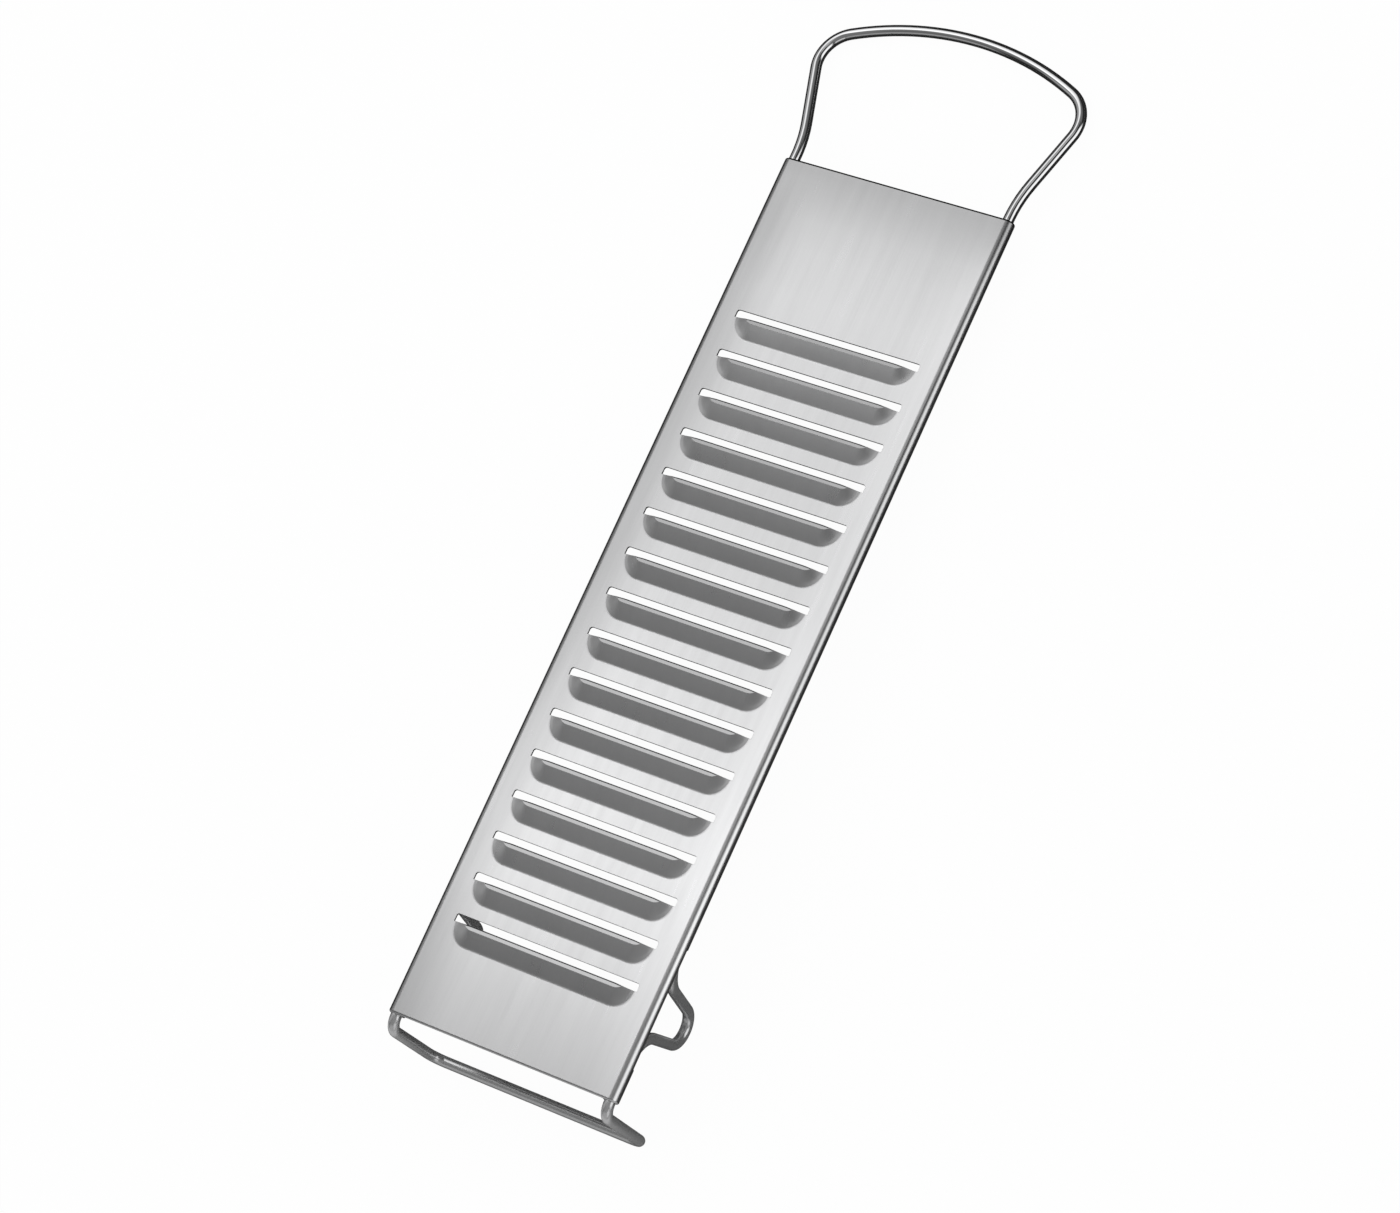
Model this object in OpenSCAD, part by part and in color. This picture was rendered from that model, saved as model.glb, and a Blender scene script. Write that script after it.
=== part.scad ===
// Potato slicer: one pressed sheet with sixteen raised cutting slots, its long
// edges rolled round two bent wires. The upper wire is the handle, the lower
// wire makes the hook loops and the foot that grip a bowl's rim.
// The modules draw in the frame of the plate: its front face at z = 0, its foot
// end at y = 0, the handle towards +Y. at_rest() lays the whole on its back.

/* [Plate] */
// Width of the plate over its rolled edges
plate_w = 85; // [80:1:120]
// Length of the plate from foot end to handle end
plate_len = 307.4; // [300:0.2:360]
// Thickness of the sheet
sheet_t = 0.8; // [0.5:0.1:1]
// Sweep of the rolled edge round its wire in degrees
roll_sweep = 270; // [240:5:290]

/* [Cutting slots] */
// Number of slots
slot_count = 16; // [1:1:16]
// Step from one slot to the next
slot_pitch = 14.4; // [12:0.1:15]
// Length of a slot
slot_len = 67.8; // [50:0.2:74]
// Opening between the plate and the lip, seen square to the plate
slot_gap = 2.4; // [1.5:0.1:4]
// Distance from the foot end to the first cut edge
slot_start = 36.5; // [20:0.5:45]
// Length of the ramp behind a lip
ramp_len = 6.5; // [4:0.1:7]
// Height of a lip's top above the plate
lip_h = 1.8; // [1:0.1:3]
// Width of the ground bevel on a lip
bevel_w = 0.9; // [0.4:0.1:1.5]
// Share of the sheet's thickness that the bevel takes at the cutting edge
bevel_share = 0.55; // [0.2:0.05:0.8]

/* [Wires] */
// Diameter of both wires
wire_d = 3.8; // [3:0.1:5]
// Gap between a wire and the rolled sheet round it
rail_clear = 0.05; // [0.02:0.01:0.2]
// Straight wire outside the plate's end before its first bend
wire_exit = 0.3; // [0.1:0.1:3]
// Gap between the ends of the two wires inside a rail
end_gap = 0.5; // [0.2:0.1:2]

/* [Handle] */
// Reach of the handle beyond the plate's end, to the wire's axis
handle_rise = 57.8; // [50:0.1:80]
// Backward tilt of the handle in degrees
handle_tilt = 2; // [0.5:0.5:6]
// Radius of the bend that tilts the handle
tilt_bend_r = 15; // [8:1:40]
// Outward slope of the handle's legs in degrees
handle_slope = 16.7; // [8:0.1:20]
// Radius of the bend into the sloped legs
handle_bend_r = 46; // [20:1:60]
// Radius of the handle's shoulders
shoulder_r = 12.4; // [8:0.1:16]
// Radius of the handle's crown
crown_r = 98; // [80:1:140]

/* [Foot] */
// Depth of the foot bar's axis behind the axis of the rail's wire
foot_depth = 35.4; // [33:0.2:60]
// Radius of the bend from the rail into the foot's legs
foot_bend_r = 4.4; // [3:0.1:10]
// Radius of the bend from the foot's legs into its bar
bar_bend_r = 5; // [3:0.5:12]

/* [Hook loops] */
// Middle of the hook loops above the plate's foot end
hook_pos = 31.8; // [26:0.2:40]
// Distance between a loop's two legs at the rail
hook_spread = 18.6; // [16:0.2:24]
// Depth of the loop's tip behind the axis of the rail's wire
hook_depth = 28.9; // [16:0.1:30]
// Slant of the loop's legs towards each other in degrees
hook_slant = 8; // [4:1:12]
// Radius of the bends between a loop and its rail
hook_bend_r = 12; // [4:0.5:14]
// Length of the lower wire inside the rail above its loop
tail_len = 45; // [20:1:120]

/* [Hidden] */
$fn = 64;
// Overrun of every cut
over = 1;
// Overlap of a pressed ramp with the flat sheet round it
blend = 0.3;
// Lap of a cut, or of a bend in a wire, over what it meets
lap = 0.05;
// How much thinner the wires are round their bends, measured on the radius
bend_thin = 0.01;
// Length of a rolled edge cut open beyond the bends of a loop, each way
notch_clear = 0.4;
sheet_color = "gainsboro";
handle_color = "silver";
foot_color = "darkgray";
wire_r = wire_d / 2;
rail_in_r = wire_r + rail_clear;
rail_out_r = rail_in_r + sheet_t;
rail_x = plate_w / 2 - rail_out_r;
foot_reach = foot_bend_r + wire_exit;
crown_y = plate_len + handle_rise;
// Corner of the bend that tilts the handle, then places along the tilted handle
tilt_tangent = tilt_bend_r * tan(handle_tilt / 2);
tilt_y = plate_len + wire_exit + tilt_tangent;
leg_start = tilt_y + tilt_tangent + wire_exit;
crown_top = tilt_y + (crown_y - tilt_y) / cos(handle_tilt);
crown_drop = (crown_y - tilt_y) * tan(handle_tilt);
lip_half = slot_len / 2 - ramp_len;
lip_slope = lip_h / ramp_len;
bevel_top = lip_h - bevel_w * lip_slope;
bevel_foot = lip_h - bevel_share * sheet_t;
hook_half = hook_spread / 2;
hook_tip_r = (hook_half * cos(hook_slant) - hook_depth * sin(hook_slant)) / (1 - sin(hook_slant));
hook_corner = hook_half / tan(hook_slant);
hook_tangent = hook_bend_r * tan((90 - hook_slant) / 2);
tail_y = hook_pos + hook_half + hook_tangent + tail_len;
notch_half = hook_half + hook_tangent + notch_clear;
// Centre of the right shoulder: on the sloped leg's side of the crown's circle
crown_cy = crown_top - crown_r;
leg_corner_y = leg_start + handle_bend_r * tan(handle_slope / 2);
leg_dir = [sin(handle_slope), cos(handle_slope)];
leg_in = [-cos(handle_slope), sin(handle_slope)];
leg_base = [rail_x, leg_corner_y - crown_cy] + shoulder_r * leg_in;
leg_run = -leg_base * leg_dir
    + sqrt(pow(leg_base * leg_dir, 2) - leg_base * leg_base + pow(crown_r - shoulder_r, 2));
shoulder = [0, crown_cy] + leg_base + leg_run * leg_dir;
shoulder_end = atan2(shoulder[1] - crown_cy, shoulder[0]);
// The part rests on the foot bar and on the top of the handle's crown
rest_span = norm([crown_y + foot_reach, foot_depth - crown_drop]);
rest_tilt = atan2(foot_depth - crown_drop, crown_y + foot_reach);

function unit(v) = v / norm(v);
function cross2(a, b) = a[0] * b[1] - a[1] * b[0];
function turn(a, b, c) = atan2(cross2(b - a, c - b), (b - a) * (c - b));
function tangent(a, b, c, r) = r * tan(abs(turn(a, b, c)) / 2);

module at_rest() {
    translate([0, -rest_span / 2, wire_r])
        rotate([-rest_tilt, 0, 0])
            translate([0, foot_reach, rail_out_r + foot_depth])
                children();
}

// Straight wire between two points of a plane
module straight_wire(a, b) {
    d = b - a;
    translate([a[0], a[1], 0])
        rotate([0, 0, atan2(d[1], d[0])])
            rotate([0, 90, 0])
                cylinder(h = norm(d), r = wire_r);
}

// Bent wire round a centre, anticlockwise from an angle, its ends lapped into its neighbours
module bent_wire(centre, r, from, sweep) {
    lap_angle = lap / r * 180 / PI;
    translate([centre[0], centre[1], 0])
        rotate([0, 0, from - lap_angle])
            rotate_extrude(angle = sweep + 2 * lap_angle)
                translate([r, 0])
                    circle(r = wire_r - bend_thin);
}

// Wire along corners that lie in a plane, each inner corner with its own radius
module wire_path(corners, radii) {
    last = len(corners) - 1;
    cuts = [for (i = [0:last])
        i == 0 || i == last ? 0
            : tangent(corners[i - 1], corners[i], corners[i + 1], radii[i - 1])];
    for (i = [0:last - 1]) {
        d = unit(corners[i + 1] - corners[i]);
        straight_wire(corners[i] + cuts[i] * d, corners[i + 1] - cuts[i + 1] * d);
    }
    for (i = [1:last - 1]) {
        d_in = unit(corners[i] - corners[i - 1]);
        d_out = unit(corners[i + 1] - corners[i]);
        bend = turn(corners[i - 1], corners[i], corners[i + 1]);
        side = sign(bend) * [-d_in[1], d_in[0]];
        start = corners[i] - cuts[i] * d_in;
        stop = corners[i] + cuts[i] * d_out;
        centre = start + radii[i - 1] * side;
        first = bend > 0 ? start - centre : stop - centre;
        bent_wire(centre, radii[i - 1], atan2(first[1], first[0]), abs(bend));
    }
}

// Left half of the plane near a rolled edge
module left_half() {
    reach = rail_out_r + over;
    translate([-reach, -reach])
        square([reach, 2 * reach]);
}

// Rolled edge of the sheet, seen along the wire that it holds
module rolled_edge_section() {
    difference() {
        circle(r = rail_out_r);
        circle(r = rail_in_r);
        intersection() {
            left_half();
            rotate([0, 0, 180 - roll_sweep])
                left_half();
        }
    }
}

// Section of the plate across its length
module plate_section() {
    translate([-rail_x, -sheet_t])
        square([2 * rail_x, sheet_t]);
    for (side = [0, 1])
        mirror([side, 0])
            translate([rail_x, -rail_out_r])
                rolled_edge_section();
}

// One slot and the outline of its pressed ramp, cut edge at y = 0
module slot_cut() {
    cut_h = sheet_t + 2 * over;
    translate([0, -slot_gap, -sheet_t - over]) {
        translate([-slot_len / 2, -lap, 0])
            cube([slot_len, slot_gap + lap, cut_h]);
        translate([-lip_half, -ramp_len, 0])
            cube([2 * lip_half, ramp_len, cut_h]);
        translate([lip_half, 0, 0])
            rotate([0, 0, -90])
                rotate_extrude(angle = 90)
                    square([ramp_len, cut_h]);
        translate([-lip_half, 0, 0])
            rotate([0, 0, 180])
                rotate_extrude(angle = 90)
                    square([ramp_len, cut_h]);
    }
}

// Half section of a ramp from its lip outwards, with the edge square or ground
module ramp_section(ground) {
    polygon(concat(
        ground ? [[0, bevel_foot], [bevel_w, bevel_top]] : [[0, lip_h]],
        [
            [ramp_len, 0],
            [ramp_len + blend, 0],
            [ramp_len + blend, -sheet_t],
            [ramp_len, -sheet_t],
            [0, lip_h - sheet_t]
        ]
    ));
}

// Ramp pressed up out of the sheet, its lip along y = 0 facing +Y
module pressed_ramp() {
    translate([-lip_half, 0, 0])
        rotate([90, 0, 90])
            linear_extrude(height = 2 * lip_half)
                mirror([1, 0])
                    ramp_section(true);
    translate([lip_half, 0, 0])
        rotate([0, 0, -90])
            rotate_extrude(angle = 90)
                ramp_section(false);
    translate([-lip_half, 0, 0])
        rotate([0, 0, 180])
            rotate_extrude(angle = 90)
                ramp_section(false);
}

module plate_shape() {
    difference() {
        translate([0, plate_len, 0])
            rotate([90, 0, 0])
                linear_extrude(height = plate_len)
                    plate_section();
        for (i = [0:slot_count - 1])
            translate([0, slot_start + i * slot_pitch, 0])
                slot_cut();
        for (side = [-1, 1])
            translate([side * rail_x - rail_out_r - over, hook_pos - notch_half, -2 * rail_out_r - over])
                cube([2 * (rail_out_r + over), 2 * notch_half, rail_out_r + over]);
    }
    for (i = [0:slot_count - 1])
        translate([0, slot_start + i * slot_pitch - slot_gap, 0])
            pressed_ramp();
}

module slicer_plate() {
    color(sheet_color)
        at_rest()
            plate_shape();
}

// Turns what lies in the plane of the rails into the plane of the tilted handle
module tilted() {
    translate([0, tilt_y, 0])
        rotate([-handle_tilt, 0, 0])
            translate([0, -tilt_y, 0])
                children();
}

// Leg of the handle inside its rail, with the bend that tilts the handle
module handle_leg() {
    rail_end = plate_len + wire_exit;
    straight_wire([rail_x, tail_y + end_gap], [rail_x, rail_end]);
    translate([rail_x, 0, 0])
        rotate([90, 0, 90])
            bent_wire([rail_end, -tilt_bend_r], tilt_bend_r, 90 - handle_tilt, handle_tilt);
}

module handle_side() {
    bend_centre = [rail_x + handle_bend_r, leg_start];
    slope_start = bend_centre + handle_bend_r * leg_in;
    slope_end = shoulder - shoulder_r * leg_in;
    straight_wire([rail_x, leg_start - wire_exit], [rail_x, leg_start]);
    bent_wire(bend_centre, handle_bend_r, 180 - handle_slope, handle_slope);
    straight_wire(slope_start, slope_end);
    bent_wire(shoulder, shoulder_r, -handle_slope, shoulder_end + handle_slope);
}

module handle_wire() {
    color(handle_color)
        at_rest()
            translate([0, 0, -rail_out_r]) {
                for (side = [0, 1])
                    mirror([side, 0, 0]) {
                        handle_leg();
                        tilted() handle_side();
                    }
                tilted()
                    translate([0, crown_cy, 0])
                        rotate([0, 0, shoulder_end])
                            rotate_extrude(angle = 180 - 2 * shoulder_end)
                                translate([crown_r, 0])
                                    circle(r = wire_r);
            }
}

// Lower wire of one side in the plane of its rail: u runs along the rail, v backwards
module foot_side() {
    wire_path(
        [
            [tail_y, 0],
            [hook_pos + hook_half, 0],
            [hook_pos, hook_corner],
            [hook_pos - hook_half, 0],
            [-foot_reach, 0],
            [-foot_reach, foot_depth - bar_bend_r]
        ],
        [hook_bend_r, hook_tip_r, hook_bend_r, foot_bend_r]
    );
}

module foot_wire() {
    color(foot_color)
        at_rest()
            translate([0, 0, -rail_out_r]) {
                for (side = [-1, 1])
                    translate([side * rail_x, 0, 0])
                        rotate([0, 90, 0])
                            rotate([0, 0, 90])
                                mirror([0, 1, 0])
                                    foot_side();
                translate([0, -foot_reach, -foot_depth])
                    rotate([90, 0, 0]) {
                        bar_half = rail_x - bar_bend_r;
                        straight_wire([-bar_half, 0], [bar_half, 0]);
                        bent_wire([bar_half, bar_bend_r], bar_bend_r, 270, 90);
                        bent_wire([-bar_half, bar_bend_r], bar_bend_r, 180, 90);
                    }
            }
}

slicer_plate();
handle_wire();
foot_wire();
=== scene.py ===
"""Potato slicer: a pressed steel plate with sixteen raised slots on two bent wires.

The plate is modelled flat, in millimetres, as it is made: one slot is pressed and
repeated, the long edges are rolled, the sheet gets its thickness and the lips are
ground. The wires are fed and bent one bend after another. Each finished piece is then
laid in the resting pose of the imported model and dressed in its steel.
"""

import logging
import math
from collections.abc import Callable, Iterator
from contextlib import contextmanager
from dataclasses import dataclass, field
from enum import Enum

import bmesh
import bpy
from mathutils import Matrix, Vector


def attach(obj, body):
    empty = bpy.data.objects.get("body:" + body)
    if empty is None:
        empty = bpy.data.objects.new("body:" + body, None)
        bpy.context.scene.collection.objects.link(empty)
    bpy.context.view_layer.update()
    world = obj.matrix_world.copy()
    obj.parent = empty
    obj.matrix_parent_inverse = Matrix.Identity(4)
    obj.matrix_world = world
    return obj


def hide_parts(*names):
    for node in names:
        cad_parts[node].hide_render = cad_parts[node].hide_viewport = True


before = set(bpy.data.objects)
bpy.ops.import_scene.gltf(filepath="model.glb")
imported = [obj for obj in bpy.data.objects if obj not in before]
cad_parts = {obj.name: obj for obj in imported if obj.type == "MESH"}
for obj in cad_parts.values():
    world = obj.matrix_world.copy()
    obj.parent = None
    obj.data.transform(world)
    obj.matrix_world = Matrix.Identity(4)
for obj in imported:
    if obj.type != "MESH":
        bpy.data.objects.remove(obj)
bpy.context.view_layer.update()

log = logging.getLogger("potato_slicer")

Pair = tuple[float, float]
Triple = tuple[float, float, float]

# A millimetre and a micron, in metres.
MM = 0.001
MICRON = 1e-6
# How far a vertex may lie from where it is looked for, in millimetres: just after it
# was put there, and after spins and extrusions.
TOUCH = 0.001
NEAR = 0.01
UP = Vector((0, 0, 1))
ACROSS = Vector((1, 0, 0))
ALONG = Vector((0, 1, 0))
WHITE = (1.0, 1.0, 1.0, 1.0)


class Pick(Enum):
    """What is selected in edit mode."""

    VERTS = "VERT"
    EDGES = "EDGE"
    FACES = "FACE"


# Hand work on meshes


class Bench:
    """The work bench: one mesh at a time, shaped in edit mode."""

    WELD_GAP = 0.002

    def __init__(self, name: str) -> None:
        """Clears the selection and remembers the name of the piece to make.

        Args:
            name: Name of the finished piece.
        """
        self.name = name
        self.piece: bpy.types.Object | None = None
        for other in bpy.context.selected_objects:
            other.select_set(False)

    def take(self) -> None:
        """Names the primitive that was just added and makes it the piece."""
        self.piece = bpy.context.object
        self.piece.name = self.piece.data.name = self.name

    def plane(self, low: Pair, high: Pair) -> None:
        """Adds a flat rectangle, as a new piece or to the mesh that is being edited.

        Args:
            low: Its corner with the least x and y.
            high: Its corner with the greatest x and y.
        """
        editing = bpy.context.mode == "EDIT_MESH"
        middle = ((low[0] + high[0]) / 2, (low[1] + high[1]) / 2, 0)
        if editing:
            bpy.ops.mesh.select_all(action="DESELECT")
        bpy.ops.mesh.primitive_plane_add(size=1, location=middle)
        if not editing:
            self.take()
            bpy.ops.object.transform_apply(location=True, rotation=True, scale=True)
            bpy.ops.object.mode_set(mode="EDIT")
            bpy.ops.mesh.select_all(action="SELECT")
        bpy.ops.transform.resize(
            value=(high[0] - low[0], high[1] - low[1], 1), center_override=middle
        )

    @contextmanager
    def edit(self, mode: Pick = Pick.VERTS) -> Iterator[None]:
        """Edit mode on the piece for the length of a with block.

        Args:
            mode: What is selected there.
        """
        bpy.context.view_layer.objects.active = self.piece
        self.piece.select_set(True)
        if bpy.context.mode != "EDIT_MESH":
            bpy.ops.object.mode_set(mode="EDIT")
        bpy.ops.mesh.select_mode(type=mode.value)
        yield
        bpy.ops.object.mode_set(mode="OBJECT")

    def pick(self, mode: Pick, wanted: Callable[..., bool]) -> int:
        """Selects the vertices, edges or faces that are wanted.

        Args:
            mode: Which of the three.
            wanted: Test of one.

        Returns:
            How many were selected.
        """
        bpy.ops.mesh.select_mode(type=mode.value)
        bpy.ops.mesh.select_all(action="DESELECT")
        mesh = bmesh.from_edit_mesh(self.piece.data)
        parts = {"VERT": mesh.verts, "EDGE": mesh.edges, "FACE": mesh.faces}
        found = [part for part in parts[mode.value] if wanted(part)]
        for part in found:
            part.select = True
        if mode is Pick.VERTS:
            mesh.select_flush(True)
        else:
            mesh.select_flush_mode()
        bmesh.update_edit_mesh(self.piece.data)
        return len(found)

    def verts(self, wanted: Callable[[Vector], bool]) -> None:
        """Selects the vertices whose place is wanted, with the edges between them."""
        self.pick(Pick.VERTS, lambda v: wanted(v.co))

    def edges(self, wanted: Callable[[bmesh.types.BMEdge], bool]) -> int:
        """Selects the edges that are wanted, and counts them."""
        return self.pick(Pick.EDGES, wanted)

    def faces(self, wanted: Callable[[Vector, Vector], bool]) -> None:
        """Selects the faces whose middle and normal are wanted."""
        self.pick(Pick.FACES, lambda f: wanted(f.calc_center_median(), f.normal))

    def extrude(self, step: Vector) -> None:
        """Extrudes the selection by a step."""
        bpy.ops.mesh.extrude_region_move(TRANSFORM_OT_translate={"value": tuple(step)})

    def spin(self, centre: Vector, axis: Vector, degrees: float, steps: int) -> None:
        """Spins the selection round an axis, by the right-hand rule.

        Args:
            centre: A point of the axis.
            axis: Its direction.
            degrees: The turn.
            steps: Steps of the turn.
        """
        turn = -math.radians(degrees)
        bpy.ops.mesh.spin(
            steps=steps, angle=turn, center=tuple(centre), axis=tuple(axis)
        )

    def weld(self) -> None:
        """Merges vertices that lie on each other."""
        bpy.ops.mesh.select_all(action="SELECT")
        bpy.ops.mesh.remove_doubles(threshold=self.WELD_GAP)

    def face_outwards(self) -> None:
        """Turns all faces the same way, outwards on a closed shape."""
        bpy.ops.mesh.select_all(action="SELECT")
        bpy.ops.mesh.normals_make_consistent(inside=False)

    def modify(self, kind: str, **settings: object) -> None:
        """Adds a modifier to the piece and applies it.

        Args:
            kind: The modifier's type.
            settings: Its settings by name.
        """
        bpy.context.view_layer.objects.active = self.piece
        modifier = self.piece.modifiers.new(kind.title(), kind)
        for name, value in settings.items():
            setattr(modifier, name, value)
        bpy.ops.object.modifier_apply(modifier=modifier.name)

    def smooth(self, degrees: float) -> None:
        """Shades the piece smooth, but for edges above an angle in degrees."""
        bpy.context.view_layer.objects.active = self.piece
        self.piece.select_set(True)
        bpy.ops.object.shade_smooth_by_angle(angle=math.radians(degrees))

    def place(self, where: Matrix) -> bpy.types.Object:
        """Lays the finished piece in its place, with its object at the origin.

        Args:
            where: From the bench, in millimetres, to the model, in metres.

        Returns:
            The piece.
        """
        for other in bpy.context.selected_objects:
            other.select_set(False)
        bpy.context.view_layer.objects.active = self.piece
        self.piece.select_set(True)
        self.piece.matrix_world = where
        bpy.ops.object.transform_apply(location=True, rotation=True, scale=True)
        self.piece.select_set(False)
        return self.piece


# Sizes shared by the pieces


@dataclass(frozen=True)
class Build:
    """Sizes of the slicer in millimetres, in the plate's own frame.

    The plate's front face is at z = 0, its foot end at y = 0, its handle towards +y.
    """

    width: float = 85.0
    length: float = 307.4
    sheet: float = 0.8
    wire: float = 3.8
    rail_clear: float = 0.05
    wire_exit: float = 0.3
    end_gap: float = 0.5
    handle_rise: float = 57.8
    handle_tilt: float = 2.0
    tilt_r: float = 15.0
    foot_depth: float = 35.4
    foot_bend: float = 4.4
    hook_pos: float = 31.8
    hook_spread: float = 18.6
    hook_depth: float = 28.9
    hook_slant: float = 8.0
    hook_bend: float = 12.0
    tail: float = 45.0

    @property
    def wire_r(self) -> float:
        """Radius of the wires."""
        return self.wire / 2

    @property
    def roll_r(self) -> float:
        """Outer radius of the rolled edges."""
        return self.wire_r + self.rail_clear + self.sheet

    @property
    def rail_x(self) -> float:
        """Distance of the rails' axes from the middle."""
        return self.width / 2 - self.roll_r

    @property
    def foot_reach(self) -> float:
        """Reach of the foot beyond the plate's end, to the wire's axis."""
        return self.foot_bend + self.wire_exit

    @property
    def crown_y(self) -> float:
        """Where the handle's crown lies, to the wire's axis."""
        return self.length + self.handle_rise

    @property
    def hook_tangent(self) -> float:
        """Length that the bend between a rail and its hook loop takes off each."""
        return self.hook_bend * math.tan(math.radians(90 - self.hook_slant) / 2)

    @property
    def tail_y(self) -> float:
        """Where the lower wire ends inside the rails."""
        return self.hook_pos + self.hook_spread / 2 + self.hook_tangent + self.tail

    @property
    def tilt_tangent(self) -> float:
        """Length that the bend which tilts the handle takes off each side."""
        return self.tilt_r * math.tan(math.radians(self.handle_tilt) / 2)

    @property
    def tilt_y(self) -> float:
        """Corner of the bend that tilts the handle."""
        return self.length + self.wire_exit + self.tilt_tangent

    def rest_run(self) -> Pair:
        """Finds how the crown lies from the foot bar, in the plate's frame.

        Returns:
            The distance along the plate and the rise.
        """
        drop = (self.crown_y - self.tilt_y) * math.tan(math.radians(self.handle_tilt))
        return self.crown_y + self.foot_reach, self.foot_depth - drop

    def at_rest(self) -> Matrix:
        """The lie of the slicer on its foot bar and on the crown of its handle.

        Returns:
            The matrix from the plate's frame in millimetres to the model in metres.
        """
        span = math.hypot(*self.rest_run())
        return (
            Matrix.Scale(MM, 4)
            @ Matrix.Translation((0, -span / 2, self.wire_r))
            @ Matrix.Rotation(-self.tilt(), 4, "X")
            @ Matrix.Translation((0, self.foot_reach, self.roll_r + self.foot_depth))
        )

    def tilt(self) -> float:
        """Slope of the plate as it lies, in radians."""
        run, rise = self.rest_run()
        return math.atan2(rise, run)


BUILD = Build()


# Steel finishes


class Socket:
    """A number or colour in a material, with the arithmetic of shader maths."""

    def __init__(self, graph: "Graph", link: bpy.types.NodeSocket) -> None:
        """Wraps the output of a node of a graph."""
        self.graph = graph
        self.link = link

    def _math(self, operation: str, *values: "Socket | float") -> "Socket":
        """Adds a Math node and gives its result."""
        return self.graph.node("Math", dict(enumerate(values)), operation=operation)

    def __add__(self, other: "Socket | float") -> "Socket":
        """Sum."""
        return self._math("ADD", self, other)

    __radd__ = __add__

    def __sub__(self, other: "Socket | float") -> "Socket":
        """Difference."""
        return self._math("SUBTRACT", self, other)

    def __mul__(self, other: "Socket | float") -> "Socket":
        """Product."""
        return self._math("MULTIPLY", self, other)

    __rmul__ = __mul__

    def clamp(self, low: float, high: float) -> "Socket":
        """Keeps the value between two numbers."""
        return self._math("MAXIMUM", self._math("MINIMUM", self, high), low)


class Graph:
    """The nodes of one material, or of the world."""

    def __init__(self, owner: bpy.types.Material | bpy.types.World) -> None:
        """Starts with no node.

        Args:
            owner: The new material or world.
        """
        self.owner = owner
        self.owner.use_nodes = True
        self.tree = self.owner.node_tree
        self.tree.nodes.clear()

    def node(
        self,
        kind: str,
        inputs: dict[str | int, object] | None = None,
        output: str | int = 0,
        **settings: object,
    ) -> Socket:
        """Adds one node.

        Args:
            kind: The node's type, without what all types start with.
            inputs: Values or links of its sockets, by name or number.
            output: Which output is wanted.
            settings: Its settings, set first; "stops" are a ramp's places and greys.

        Returns:
            That output.
        """
        made = self.tree.nodes.new(f"ShaderNode{kind}")
        for name, value in settings.items():
            if name == "stops":
                stops = made.color_ramp.elements
                while len(stops) < len(value):
                    stops.new(0.5)
                for stop, (place, grey) in zip(stops, value, strict=True):
                    stop.position = place
                    stop.color = (grey, grey, grey, 1)
            else:
                setattr(made, name, value)
        for name, value in (inputs or {}).items():
            socket = made.inputs[name]
            if isinstance(value, Socket):
                self.tree.links.new(value.link, socket)
            else:
                socket.default_value = value
        return Socket(self, made.outputs[output])

    def axes(self, place: Socket) -> dict[str, Socket]:
        """Splits a place into its numbers, by the axes' names."""
        spot = self.node("SeparateXYZ", {"Vector": place})
        outputs = zip("XYZ", spot.link.node.outputs, strict=True)
        return {axis: Socket(self, link) for axis, link in outputs}

    def way(
        self, value: Socket, start: float, end: float, gentle: bool = True
    ) -> Socket:
        """Finds how far a value is on the way from a start to an end.

        Args:
            value: The value.
            start: Where the way starts.
            end: Where it ends.
            gentle: Whether it starts and stops gently.

        Returns:
            The share of the way, from 0 to 1.
        """
        inputs = {"Value": value, "From Min": start, "From Max": end}
        kind = "SMOOTHSTEP" if gentle else "LINEAR"
        return self.node("MapRange", inputs, interpolation_type=kind)

    def end(self, shader: Socket, kind: str = "Material") -> None:
        """Ends the graph of a material or a world with its surface shader."""
        end = self.tree.nodes.new(f"ShaderNodeOutput{kind}")
        self.tree.links.new(shader.link, end.inputs["Surface"])


@dataclass(frozen=True)
class PaintedShading:
    """Painted light and shade: shares of a sheet's shade along its length, and how its
    long edges differ. It paints the sheet darker towards its handle end and its left
    edge, and lighter on its right edge.

    Places are in metres, in the model as it lies.
    """

    stops: tuple[Pair, ...]
    ends: Pair = (-0.181, 0.126)
    gain: float = 1.1
    left: Pair = (-0.020, -0.044)
    left_loss: float = 0.27
    right: Pair = (0.024, 0.044)
    right_gain: float = 0.09
    bright_from: float = 0.62
    bright_slope: float = 5.5

    def share(self, graph: Graph, place: Socket) -> Socket:
        """Adds the painted light and shade to a material.

        Args:
            graph: The material's graph.
            place: The place on the piece.

        Returns:
            The share of the shade that is left.
        """
        axes = graph.axes(place)
        # Painted light and shade along the sheet, darkest at its handle end.
        run = graph.way(axes["Y"], *self.ends, gentle=False)
        along = graph.node("ValToRGB", {"Fac": run}, stops=self.stops)
        left = graph.way(axes["X"], *self.left)
        right = graph.way(axes["X"], *self.right)
        bright = ((along - self.bright_from) * self.bright_slope).clamp(0.0, 1.0)
        # Painted shade on the left edge and painted light on the right edge, where the
        # painted curve is bright.
        loss = left * bright * self.left_loss
        return along * self.gain - loss + right * bright * self.right_gain


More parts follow.
